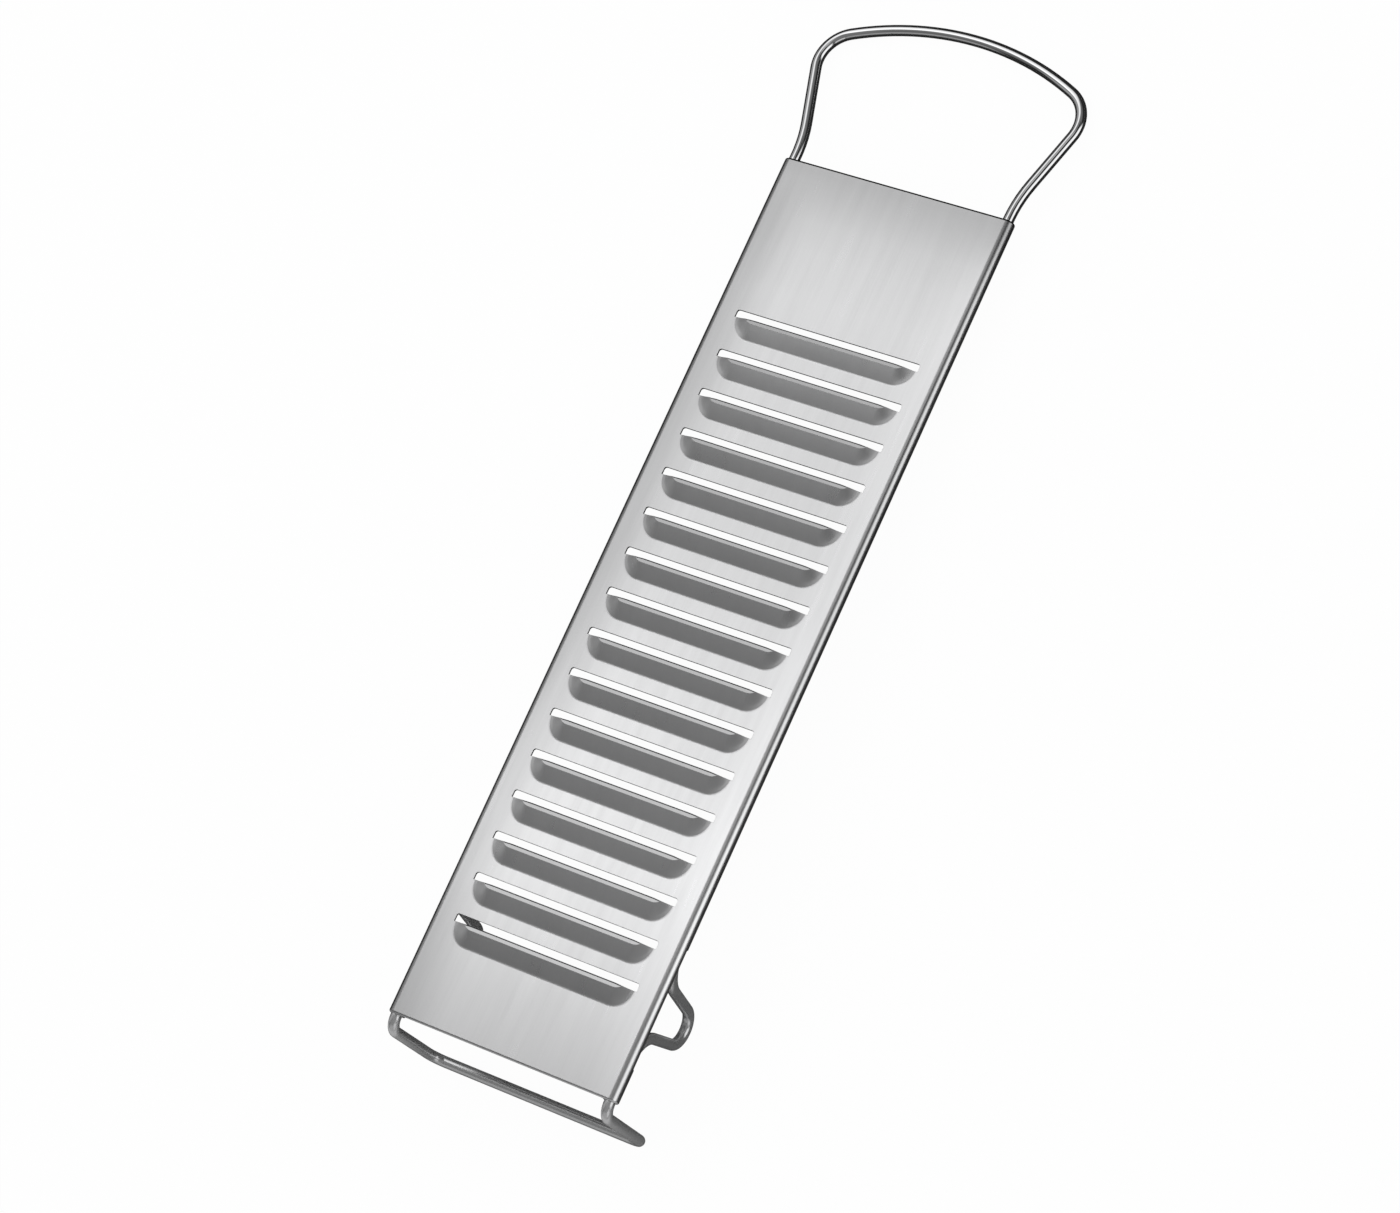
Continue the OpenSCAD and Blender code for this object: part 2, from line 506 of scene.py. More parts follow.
@dataclass(frozen=True)
class Steel:
    """One finish of stainless steel.

    Grain runs along the plate: its lines are long in y and fine across. The sizes of
    grain, sheen and clouds are across and along, in millimetres, their heights in
    microns.
    """

    TINT = (1.0, 1.002, 1.01)
    CLOUD_MM = (26.0, 34.0)
    NOISE_ROUGHNESS = 0.55
    SHEEN_SHARE = 0.25
    CLOUD_SHARE = 0.2
    ROUGHNESS_LIMITS = (0.02, 0.9)

    name: str
    shade: float
    roughness: float
    grain_um: float = 1.0
    grain_mm: Pair = (0.35, 18.0)
    sheen_mm: Pair = (2.2, 45.0)
    sheen_um: float = 3.0
    blotch: float = 0.03
    streak: float = 0.05
    # Painted light and shade laid over the colour, if any.
    painted_shading: PaintedShading | None = None
    metallic: float = 1.0

    def _noise(
        self, graph: Graph, place: Socket, size_mm: Pair, detail: float
    ) -> Socket:
        """Noise that is drawn out along the plate.

        Args:
            graph: The material's graph.
            place: The place on the piece, in metres.
            size_mm: Its size across and along.
            detail: Detail of the noise.

        Returns:
            The noise, from 0 to 1.
        """
        across, along = 1 / (MM * size_mm[0]), 1 / (MM * size_mm[1])
        inputs = {"Vector": place, "Scale": (across, along, across)}
        spot = graph.node("Mapping", inputs)
        inputs = {"Vector": spot, "Scale": 1.0, "Detail": detail}
        inputs["Roughness"] = self.NOISE_ROUGHNESS
        return graph.node("TexNoise", inputs)

    def material(self) -> bpy.types.Material:
        """Builds the finish.

        Returns:
            The material.
        """
        graph = Graph(bpy.data.materials.new(self.name))
        raw = graph.node("TexCoord", output="Object")
        inputs = {"Vector": raw, "Rotation": (BUILD.tilt(), 0.0, 0.0)}
        place = graph.node("Mapping", inputs)
        grain = self._noise(graph, place, self.grain_mm, 1.0)
        sheen = self._noise(graph, place, self.sheen_mm, 2.0)
        cloud = self._noise(graph, place, self.CLOUD_MM, 3.0)
        blotches = (cloud - 0.5) * (2 * self.blotch)
        tone = self.shade + blotches + (grain - 0.5) * self.streak
        # Painted light and shade over the sheet's colour.
        if self.painted_shading:
            tone = tone * self.painted_shading.share(graph, raw)
        colours = enumerate(tone * share for share in self.TINT)
        rough = (
            self.roughness
            + (sheen - 0.5) * (self.SHEEN_SHARE * self.roughness)
            + (cloud - 0.5) * (self.CLOUD_SHARE * self.roughness)
        )
        height = grain * self.grain_um + sheen * self.sheen_um
        relief = {"Height": height, "Strength": 1.0, "Distance": MICRON}
        inputs = {
            "Base Color": graph.node("CombineColor", dict(colours)),
            "Metallic": self.metallic,
            "Roughness": rough.clamp(*self.ROUGHNESS_LIMITS),
            "Normal": graph.node("Bump", relief),
        }
        graph.end(graph.node("BsdfPrincipled", inputs))
        return graph.owner


SATIN_SHEET = Steel(
    "satin_sheet",
    shade=0.82,
    roughness=0.29,
    grain_um=0.45,
    sheen_um=0.5,
    # Painted light and shade along the sheet and at its long edges.
    painted_shading=PaintedShading(
        stops=(
            (0.0, 0.88), (0.08, 0.93), (0.175, 1.02), (0.27, 0.99), (0.36, 0.90),
            (0.455, 0.84), (0.55, 0.785), (0.65, 0.775), (0.75, 0.80), (0.86, 0.835),
            (0.91, 0.81), (0.945, 0.757), (0.975, 0.66), (1.0, 0.59),
        )
    ),
)
GROUND_EDGE = Steel(
    "ground_edge", shade=0.56, roughness=0.24, grain_mm=(0.2, 0.4), grain_um=0.5
)
# The plate's cut end rims, painted near-black: a painted dark reflection along them.
PAINTED_DARK_EDGE = Steel(
    "painted_dark_edge", shade=0.04, roughness=0.4, grain_mm=(0.2, 0.4), grain_um=0.5
)
POLISHED_WIRE = Steel(
    "polished_wire", shade=0.88, roughness=0.05, grain_um=0.2, sheen_um=0.4, blotch=0.01
)
SATIN_WIRE = Steel(
    "satin_wire",
    shade=0.74,
    roughness=0.22,
    grain_mm=(0.6, 0.6),
    grain_um=0.1,
    sheen_um=0.4,
    blotch=0.04,
    metallic=0.8,
)


# The plate


@dataclass
class SlicingPlate:
    """The pressed sheet with its slots, ramps, ground lips and rolled edges."""

    # The steels in the order of their material slots, and two slots' numbers.
    STEELS = (SATIN_SHEET, GROUND_EDGE, PAINTED_DARK_EDGE)
    GROUND = 1
    # Slot of the near-black end rims, which paint a dark reflection.
    DARK_EDGE = 2
    # Steps of the round ends, the corners, the rolled edges, the fold, the slope and
    # the search for the slope's angle.
    END_STEPS = 16
    CORNER_STEPS = 6
    ROLL_STEPS = 48
    FOLD_STEPS = 7
    SLOPE_STEPS = 9
    SETTLE_ROUNDS = 20
    # Reach of a lip's grinding: behind the lip, ahead of it, and down to a height.
    GRIND_BACK = 5.0
    GRIND_FRONT = 0.2
    GRIND_LOW = 0.1
    # How faces are known: by their normal's share of a direction, or by their height.
    FACET_MATCH = 0.9999
    FACET_ABOVE = 0.9
    TURNED = 0.9
    TURNED_A_BIT = 0.1
    # Least angle of an edge that gets rounded, in radians, and narrowest face kept.
    SHARP = 0.42
    SLIVER = 0.003
    # Angle in degrees above which an edge stays sharp, and pull of the flat faces.
    SMOOTH_BELOW = 40
    FLAT_WEIGHT = 80

    slots: int = 16
    pitch: float = 14.4
    first: float = 36.5
    gap: float = 2.4
    slot_half: float = 33.9
    slot_corner: float = 0.9
    ramp: float = 7.3
    fold_r: float = 3.0
    bulge: float = 0.1
    lip_back: float = 0.25
    lip: float = 1.8
    border: float = 0.8
    columns: tuple[float, ...] = (2.6, 2.2, 1.8, 1.4, 1.1, 0.9)
    end_drop: float = 1.5
    facet_low: float = 1.30
    facet_high: float = 1.47
    facet_width: float = 1.2
    cutting_round: float = 0.38
    edge_round: float = 0.1
    end_round: float = 0.15
    rim_round: float = 0.72
    roll_sweep: float = 270.0
    notch_clear: float = 0.4
    bench: Bench = field(default_factory=lambda: Bench("slicing_plate"))

    @property
    def lip_half(self) -> float:
        """Half the length of the straight lip."""
        return self.slot_half - self.ramp

    @property
    def lip_y(self) -> float:
        """Place of the first slot's lip."""
        return self.first - self.gap - self.lip_back

    def ramp_profile(self) -> list[Pair]:
        """Half section of a ramp: a slightly bulging slope, folded at its base.

        Returns:
            Distance from the lip and height, from the base up to the lip.
        """
        # The slope meets the fold's arc, which leaves the flat sheet at the base.
        slope = math.atan(self.lip / self.ramp)
        for _ in range(self.SETTLE_ROUNDS):
            top = self.ramp - self.fold_r * math.sin(slope)
            rise = self.fold_r * (1 - math.cos(slope))
            slope = math.atan((1 + self.bulge) * (self.lip - rise) / top)
        arc = [slope * i / self.FOLD_STEPS for i in range(self.FOLD_STEPS + 1)]
        points = [
            (self.ramp - self.fold_r * math.sin(a), self.fold_r * (1 - math.cos(a)))
            for a in arc
        ]
        top, rise = points[-1]
        for step in range(1, self.SLOPE_STEPS + 1):
            share = step / self.SLOPE_STEPS
            climb = share * (1 + self.bulge * (1 - share))
            points.append((top * (1 - share), rise + (self.lip - rise) * climb))
        return points

    def press_slot(self) -> None:
        """Presses the first slot: its ramp, its two rounded ends and its border."""
        bench, y = self.bench, self.lip_y
        points = self.ramp_profile()
        inner = self.lip_half - sum(self.columns)
        bench.plane((-inner, y - self.ramp - self.border), (inner, y - self.ramp))
        with bench.edit():
            for side in (-1, 1):
                reach = inner
                for step in self.columns:
                    bench.verts(lambda p, s=side, r=reach: abs(p.x - s * r) < TOUCH)
                    bench.extrude(ACROSS * (side * step))
                    reach += step
            bench.verts(lambda p: p.y > y - self.ramp - NEAR)
            for (d0, z0), (d1, z1) in zip(points, points[1:], strict=False):
                bench.extrude(Vector((0, d0 - d1, z1 - z0)))
            for side in (-1, 1):
                bench.verts(lambda p, s=side: abs(p.x - s * self.lip_half) < TOUCH)
                bench.spin(
                    Vector((side * self.lip_half, y, 0)), UP, side * 90, self.END_STEPS
                )
            bench.weld()
            self.draw_ends(points)
            self.border_gap()
            bench.weld()

    def draw_ends(self, points: list[Pair]) -> None:
        """Draws the ramp's round ends: the slope runs on into them and then drops.

        Args:
            points: Half section of the ramp.
        """
        for radius, height in points:
            if not NEAR < radius < self.ramp - NEAR:
                continue
            share = radius / self.ramp
            drawn = self.lip * (1 - share**2) ** self.end_drop
            for step in range(1, self.END_STEPS + 1):
                angle = math.radians(90) * step / self.END_STEPS
                mixed = height + (1 - math.cos(angle)) * (drawn - height)
                rise = mixed * (1 - math.sin(angle) * share**2) - height
                for side in (-1, 1):
                    x = side * (self.lip_half + radius * math.sin(angle))
                    y = self.lip_y - radius * math.cos(angle)
                    self.bench.verts(
                        lambda p, x=x, y=y: abs(p.x - x) < NEAR and abs(p.y - y) < NEAR
                    )
                    bpy.ops.transform.translate(value=(0, 0, rise))

    def border_gap(self) -> None:
        """Carries the flat border round the far side of the gap."""
        bench, y = self.bench, self.lip_y
        half, corner, steps = self.slot_half, self.slot_corner, self.CORNER_STEPS
        bench.verts(lambda p: p.x < NEAR - half and abs(p.y - y) < TOUCH)
        gap = self.gap + self.lip_back
        bench.extrude(Vector((0, gap - corner, 0)))
        inner_y = y + gap - corner
        bench.spin(Vector((corner - half, inner_y, 0)), UP, -90, steps)
        bench.extrude(Vector((2 * (half - corner), 0, 0)))
        bench.spin(Vector((half - corner, inner_y, 0)), UP, -90, steps)
        bench.extrude(Vector((0, corner - gap, 0)))

    def repeat_slots(self) -> None:
        """Repeats the slot along the plate."""
        with self.bench.edit():
            bpy.ops.mesh.select_all(action="SELECT")
            for _ in range(self.slots - 1):
                bpy.ops.mesh.duplicate_move(
                    TRANSFORM_OT_translate={"value": (0, self.pitch, 0)}
                )

    def in_gap(self, p: Vector) -> bool:
        """Whether a place lies in or on the outline of a slot's gap.

        Args:
            p: The place.

        Returns:
            Whether it does.
        """
        gap = self.gap + self.lip_back
        step = round((p.y - self.first + gap / 2) / self.pitch)
        y = p.y - self.first - step * self.pitch
        return abs(p.x) < self.slot_half + NEAR and -gap - NEAR < y < NEAR

    def fill_sheet(self) -> None:
        """Fills the flat sheet between the slots and the plate's outline."""
        bench, half = self.bench, BUILD.rail_x
        with bench.edit():
            bench.plane((-half, 0), (half, BUILD.length))
            bpy.ops.mesh.delete(type="ONLY_FACE")
            bench.edges(
                lambda e: len(e.link_faces) < 2
                and not self.in_gap((e.verts[0].co + e.verts[1].co) / 2)
            )
            bpy.ops.mesh.fill(use_beauty=True)
            bpy.ops.mesh.dissolve_degenerate(threshold=NEAR)
            bench.weld()
            bench.face_outwards()

    def roll_edges(self) -> None:
        """Rolls both long edges and opens them behind for the hook loops."""
        bench = self.bench
        half = BUILD.hook_spread / 2 + BUILD.hook_tangent + self.notch_clear
        low, high = BUILD.hook_pos - half, BUILD.hook_pos + half
        with bench.edit():
            for side in (-1, 1):
                bench.verts(lambda p, s=side: abs(p.x - s * BUILD.rail_x) < TOUCH)
                bench.spin(
                    Vector((side * BUILD.rail_x, 0, -BUILD.roll_r)),
                    ALONG,
                    side * self.roll_sweep,
                    self.ROLL_STEPS,
                )
            bench.weld()
            for cut in (low, high):
                bench.faces(lambda c, n: c.z < -BUILD.roll_r)
                bpy.ops.mesh.bisect(plane_co=(0, cut, 0), plane_no=(0, 1, 0))
            bench.faces(lambda c, n: c.z < -BUILD.roll_r and low < c.y < high)
            bpy.ops.mesh.delete(type="FACE")
            bench.face_outwards()
            mesh = bmesh.from_edit_mesh(bench.piece.data)
            flat = max(mesh.faces, key=lambda f: f.calc_area() * abs(f.normal.z))
            if flat.normal.z < 0:
                bpy.ops.mesh.flip_normals()

    def thicken(self) -> None:
        """Gives the sheet its thickness, behind its front face."""
        even = {"use_even_offset": True, "use_quality_normals": True}
        self.bench.modify("SOLIDIFY", thickness=BUILD.sheet, offset=-1.0, **even)

    def grind_lips(self) -> None:
        """Grinds a bright facet on each lip."""
        bench = self.bench
        slope = (self.facet_high - self.facet_low) / self.facet_width
        facing = Vector((0, slope, 1)).normalized()
        for _ in self.STEELS:
            bpy.ops.object.material_slot_add()
        with bench.edit(Pick.FACES):
            for i in range(self.slots):
                y = self.lip_y + i * self.pitch
                low, high = y - self.GRIND_BACK, y + self.GRIND_FRONT
                bench.faces(
                    lambda c, n, low=low, high=high: low < c.y < high
                    and c.z > self.GRIND_LOW
                    and abs(c.x) < self.slot_half
                )
                bpy.ops.mesh.bisect(
                    plane_co=(0, y, self.facet_low),
                    plane_no=tuple(facing),
                    use_fill=True,
                    clear_outer=True,
                )
            bench.faces(
                lambda c, n: n.dot(facing) > self.FACET_MATCH
                and c.z > self.FACET_ABOVE
            )
            bench.piece.active_material_index = self.GROUND
            bpy.ops.object.material_slot_assign()
            bench.edges(lambda e: len({f.material_index for f in e.link_faces}) > 1)
            bpy.ops.mesh.mark_sharp()

    def is_ground(self, edge: bmesh.types.BMEdge) -> bool:
        """Whether an edge bounds a ground facet."""
        return any(f.material_index == self.GROUND for f in edge.link_faces)

    def is_cutting(self, edge: bmesh.types.BMEdge) -> bool:
        """Whether an edge is a lip's cutting edge."""
        ahead = any(f.normal.y > self.TURNED for f in edge.link_faces)
        return ahead and self.is_ground(edge)

    def at_end(self, edge: bmesh.types.BMEdge) -> bool:
        """Whether an edge lies in the plate's foot end or top end."""
        ys = [v.co.y for v in edge.verts]
        return max(ys) < NEAR or min(ys) > BUILD.length - NEAR

    def at_rim(self, edge: bmesh.types.BMEdge) -> bool:
        """Whether an edge runs along the front of an end.

        Args:
            edge: The edge.

        Returns:
            Whether it does.
        """
        first, last = (v.co for v in edge.verts)
        middle = (first + last) / 2
        outside = max(abs(middle.x) - BUILD.rail_x, 0.0)
        skin = math.hypot(outside, middle.z + BUILD.roll_r)
        along = abs(first.y - last.y) < NEAR
        half = BUILD.sheet / 2
        front = middle.z > -half or (outside > 0 and skin > BUILD.roll_r - half)
        return along and front and self.at_end(edge)

    def round_edges(self) -> None:
        """Takes the sharpness off every cut edge of the sheet."""
        bench = self.bench
        # Which edges, how wide and in how many steps.
        rounds = (
            (self.is_cutting, self.cutting_round, 4),
            (self.at_rim, self.rim_round, 5),
            (self.at_end, self.end_round, 2),
            (lambda e: not (self.at_end(e) or self.is_ground(e)), self.edge_round, 3),
        )
        with bench.edit(Pick.EDGES):
            for chosen, width, segments in rounds:
                count = bench.edges(
                    lambda e, chosen=chosen: len(e.link_faces) == 2
                    and e.calc_face_angle() > self.SHARP
                    and chosen(e)
                )
                log.info("rounding %d edges by %.2f mm", count, width)
                bpy.ops.mesh.bevel(
                    offset=width, segments=segments, affect="EDGES", clamp_overlap=False
                )
            bpy.ops.mesh.select_all(action="SELECT")
            bpy.ops.mesh.dissolve_degenerate(threshold=self.SLIVER)
            # Paints the end rims near-black: a painted dark reflection along the
            # plate's ends.
            low, high = self.rim_round, BUILD.length - self.rim_round
            bench.faces(
                lambda c, n: (n.y > self.TURNED_A_BIT and c.y > high)
                or (n.y < -self.TURNED and c.y < low)
            )
            bench.piece.active_material_index = self.DARK_EDGE
            bpy.ops.object.material_slot_assign()

    def make(self) -> bpy.types.Object:
        """Makes the plate.

        Returns:
            The finished piece, in its place and finish.
        """
        self.press_slot()
        self.repeat_slots()
        self.fill_sheet()
        self.roll_edges()
        self.thicken()
        self.grind_lips()
        self.round_edges()
        self.bench.smooth(self.SMOOTH_BELOW)
        flats = {"mode": "FACE_AREA", "weight": self.FLAT_WEIGHT, "keep_sharp": True}
        self.bench.modify("WEIGHTED_NORMAL", **flats)
        piece = self.bench.place(BUILD.at_rest())
        for slot, steel in zip(piece.material_slots, self.STEELS, strict=True):
            slot.material = steel.material()
        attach(piece, "root")
        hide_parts("slicer_plate")
        return piece


# The wires


class BentWire:
    """A round wire that is fed and bent, one bend after another."""

    SIDES = 48
    CHAMFER = 0.3
    SKIN = 0.035
    # Turn of one step of a bend in degrees, and the same times the radius.
    TURN_STEP = 4.5
    ARC_STEP = 170.0
    # Angle in degrees above which an edge stays sharp.
    SMOOTH_BELOW = 35

    def __init__(self, name: str, start: Vector, heading: Vector) -> None:
        """Cuts the wire's first end.

        Args:
            name: Name of the piece.
            start: The wire's first end, on its axis.
            heading: Which way the wire runs there.
        """
        self.bench = Bench(name)
        self.tip = Vector(start)
        self.heading = Vector(heading).normalized()
        turn = UP.rotation_difference(self.heading).to_euler()
        bpy.ops.mesh.primitive_circle_add(
            vertices=self.SIDES,
            radius=BUILD.wire_r - self.SKIN - self.CHAMFER,
            location=self.tip,
            rotation=turn,
            fill_type="NGON",
        )
        self.bench.take()
        bpy.ops.object.transform_apply(location=True, rotation=True, scale=True)
        bpy.ops.object.mode_set(mode="EDIT")
        bpy.ops.mesh.select_all(action="SELECT")
        self.flare(1)

    def flare(self, way: int) -> None:
        """Extrudes the chamfer of an end.

        Args:
            way: 1 to widen to the wire, -1 to narrow to the end.
        """
        full = BUILD.wire_r - self.SKIN
        small = full - self.CHAMFER
        self.bench.extrude(self.heading * self.CHAMFER)
        self.tip += self.heading * self.CHAMFER
        share = full / small if way > 0 else small / full
        bpy.ops.transform.resize(
            value=(share, share, share), center_override=tuple(self.tip)
        )

    def feed(self, length: float) -> None:
        """Feeds a length of straight wire."""
        self.bench.extrude(self.heading * length)
        self.tip += self.heading * length

    def bend(self, radius: float, degrees: float, axis: Vector) -> None:
        """Bends the wire round a former.

        Args:
            radius: Radius of the bend, to the wire's axis.
            degrees: The turn.
            axis: The former's axis, by the right-hand rule.
        """
        axis = Vector(axis).normalized()
        centre = self.tip + axis.cross(self.heading) * radius
        turns = math.ceil(degrees / self.TURN_STEP)
        steps = max(2, turns, math.ceil(radius * degrees / self.ARC_STEP))
        self.bench.spin(centre, axis, degrees, steps)
        turn = Matrix.Rotation(math.radians(degrees), 4, axis)
        self.tip = centre + turn @ (self.tip - centre)
        self.heading = (turn @ self.heading).normalized()

    def run(self, *steps: float | tuple[float, float, Vector]) -> None:
        """Feeds each step that is a length, and bends at each that is a bend."""
        for step in steps:
            if isinstance(step, tuple):
                self.bend(*step)
            else:
                self.feed(step)

    def finish(self, steel: Steel, node: str) -> bpy.types.Object:
        """Cuts the last end and lays the wire in its place.

        Args:
            steel: Its finish.
            node: The CAD node that it stands for.

        Returns:
            The finished piece.
        """
        self.flare(-1)
        bpy.ops.mesh.edge_face_add()
        with self.bench.edit():
            self.bench.weld()
            self.bench.face_outwards()
        self.bench.smooth(self.SMOOTH_BELOW)
        piece = self.bench.place(BUILD.at_rest())
        piece.data.materials.append(steel.material())
        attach(piece, "root")
        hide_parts(node)
        return piece


@dataclass
class HandleWire:
    """The upper wire: two legs inside the rails and the arched handle."""

    slope: float = 16.7
    bend_r: float = 46.0
    shoulder_r: float = 12.4
    crown_r: float = 98.0

    def shoulder(self) -> Pair:
        """Finds where a sloped leg's wire meets its shoulder.

        Returns:
            Length of the straight sloped leg and the angle of the shoulder's far end.
        """
        angle = math.radians(self.slope)
        along = Vector((math.sin(angle), math.cos(angle)))
        inward = Vector((-math.cos(angle), math.sin(angle)))
        tilt = math.radians(BUILD.handle_tilt)
        rise = (BUILD.crown_y - BUILD.tilt_y) / math.cos(tilt)
        crown = BUILD.tilt_y + rise - self.crown_r
        start = BUILD.tilt_y + BUILD.tilt_tangent + BUILD.wire_exit
        corner = start + self.bend_r * math.tan(angle / 2)
        base = Vector((BUILD.rail_x, corner - crown)) + self.shoulder_r * inward
        side = base.dot(along)
        run = -side + math.sqrt(
            side**2 - base.dot(base) + (self.crown_r - self.shoulder_r) ** 2
        )
        centre = base + run * along
        end = math.degrees(math.atan2(centre.y, centre.x))
        return run - self.bend_r * math.tan(angle / 2), end

    def make(self) -> bpy.types.Object:
        """Bends the wire from the left leg's end to the right leg's.

        Returns:
            The finished piece.
        """
        leg, end = self.shoulder()
        start = Vector((-BUILD.rail_x, BUILD.tail_y + BUILD.end_gap, -BUILD.roll_r))
        inside = BUILD.length + BUILD.wire_exit - start.y - BentWire.CHAMFER
        square = Matrix.Rotation(-math.radians(BUILD.handle_tilt), 3, "X") @ UP
        wire = BentWire("handle_wire_polished", start, ALONG)
        tilt = (BUILD.tilt_r, BUILD.handle_tilt)
        slope = (self.bend_r, self.slope, square)
        shoulder = (self.shoulder_r, self.slope + end, -square)
        crown = (self.crown_r, 180 - 2 * end, -square)
        wire.run(inside, (*tilt, -ACROSS), BUILD.wire_exit, slope, leg, shoulder)
        wire.run(crown, shoulder, leg, slope, BUILD.wire_exit, (*tilt, ACROSS), inside)
        return wire.finish(POLISHED_WIRE, "handle_wire")


@dataclass
class FootWire:
    """The lower wire: two tails inside the rails, two hook loops and the foot."""

    bar_bend: float = 5.0

    def loop(self, wire: BentWire, side: int) -> None:
        """Bends one hook loop.

        Args:
            wire: The wire.
            side: 1 where the wire runs towards the foot, -1 where it comes back.
        """
        slant = math.radians(BUILD.hook_slant)
        half, sine = BUILD.hook_spread / 2, math.sin(slant)
        tip_r = (half * math.cos(slant) - BUILD.hook_depth * sine) / (1 - sine)
        turn = 90 - BUILD.hook_slant
        leg = half / sine - BUILD.hook_tangent - tip_r * math.tan(math.radians(turn))
        outer = (BUILD.hook_bend, turn, ACROSS * side)
        wire.run(outer, leg, (tip_r, 2 * turn, -ACROSS * side), leg, outer)

    def make(self) -> bpy.types.Object:
        """Bends the wire from the right tail's end to the left tail's.

        Returns:
            The finished piece.
        """
        start = Vector((BUILD.rail_x, BUILD.tail_y, -BUILD.roll_r))
        tail = BUILD.tail - BentWire.CHAMFER
        bends = BUILD.hook_spread / 2 + BUILD.hook_tangent
        rail = BUILD.hook_pos - bends + BUILD.wire_exit
        leg = BUILD.foot_depth - self.bar_bend - BUILD.foot_bend
        wire = BentWire("foot_wire_satin", start, -ALONG)
        corner, bar = (self.bar_bend, 90, ALONG), 2 * (BUILD.rail_x - self.bar_bend)
        wire.feed(tail)
        self.loop(wire, 1)
        wire.run(rail, (BUILD.foot_bend, 90, ACROSS), leg, corner, bar)
        wire.run(corner, leg, (BUILD.foot_bend, 90, -ACROSS), rail)
        self.loop(wire, -1)
        wire.feed(tail)
        return wire.finish(SATIN_WIRE, "foot_wire")


# The studio


@dataclass(frozen=True)
class Glow:
    """How a reflected card glows: a level that fades to a floor along its axes.

    A fade is its axis, where it is dark and where it is full. The slope is its axis,
    where it starts, where it ends and the share of the level that is left there.
    """

    level: float
    floor: float
    fades: tuple[tuple[str, float, float], ...] = ()
    slope: tuple[str, float, float, float] | None = None

    def material(self, name: str) -> bpy.types.Material:
        """Builds the glowing material.

        Args:
            name: Its name.

        Returns:
            The material.
        """
        graph = Graph(bpy.data.materials.new(name))
        axes = graph.axes(graph.node("TexCoord", output="Object"))
        strength: Socket | float = self.level - self.floor
        if self.slope:
            axis, start, end, left = self.slope
            run = graph.way(axes[axis], start, end, gentle=False)
            strength = (run * (left - 1.0) + 1.0) * strength
        for axis, dark, full in self.fades:
            strength = graph.way(axes[axis], dark, full) * strength
        strength = strength + self.floor
        inputs = {"Color": WHITE, "Strength": strength}
        graph.end(graph.node("Emission", inputs))
        return graph.owner


@dataclass(frozen=True)
class Card:
    """A flat card round the object, seen in reflections only, sizes in metres."""

    name: str
    middle: Triple
    wide: Triple
    high: Triple
    glow: Glow


CARDS = (
    Card(
        "main_soft_box", (-0.95, 0.95, 1.6), (1.5, 0, 0), (0, 2.1, 0),
        Glow(
            1.36, 0.17, (("X", -1.68, -1.30), ("X", -0.22, -0.42), ("Y", 0.0, 0.24)),
            slope=("Y", 0.2, 1.4, 0.5),
        ),
    ),
    Card(
        "right_card", (0.25, 0.6, 1.62), (1.1, 0, 0), (0, 0.8, 0),
        Glow(0.44, 0.16, (("X", 0.8, 0.5), ("Y", 0.2, 0.4), ("Y", 1.0, 0.7))),
    ),
    Card(
        "front_top_card", (-0.95, -0.75, 1.62), (1.5, 0, 0), (0, 1.2, 0),
        Glow(0.21, 0.12, (("Y", -0.9, -0.15),)),
    ),
    Card(
        "left_card", (-2.3, 0.0, 1.15), (0, 3.4, 0), (0, 0, 2.3),
        Glow(0.34, 0.05, (("Z", 0.3, 0.9), ("Y", -1.7, -1.2), ("Y", 1.7, 1.2))),
    ),
    Card(
        "side_soft_box", (1.9, 0.3, 1.05), (0, 2.2, 0), (0, 0, 2.1),
        Glow(1.05, 0.07, (("Z", 2.1, 1.1), ("Y", -0.8, -0.4), ("Y", 1.4, 0.9))),
    ),
    Card(
        "front_card", (-0.2, -1.9, 0.8), (2.8, 0, 0), (0, 0, 1.6),
        Glow(0.32, 0.07, (("Z", 1.6, 1.1), ("X", -1.6, -1.2), ("X", 1.2, 0.8))),
    ),
    Card(
        "corner_soft_box", (1.45, -1.45, 0.8), (1.1, 1.1, 0), (0, 0, 1.6),
        Glow(0.6, 0.05, (("Z", 1.6, 1.1), ("X", 0.9, 1.1), ("X", 2.0, 1.8))),
    ),
    Card(
        "black_card", (1.15, 0.85, 1.55), (0.9, 0, 0), (0, 1.0, 0),
        Glow(0.012, 0.012),
    ),
    Card(
        "dark_table", (-0.9, 0, 0.0002), (2.1, 0, 0), (0, 4.4, 0),
        Glow(0.45, 0.02, (("Y", -0.17, -0.25),)),
    ),
    Card(
        "grey_table", (1.2, 0, 0.0002), (2.1, 0, 0), (0, 4.4, 0),
        Glow(0.45, 0.03, (("X", 0.15, 0.5),)),
    ),
)


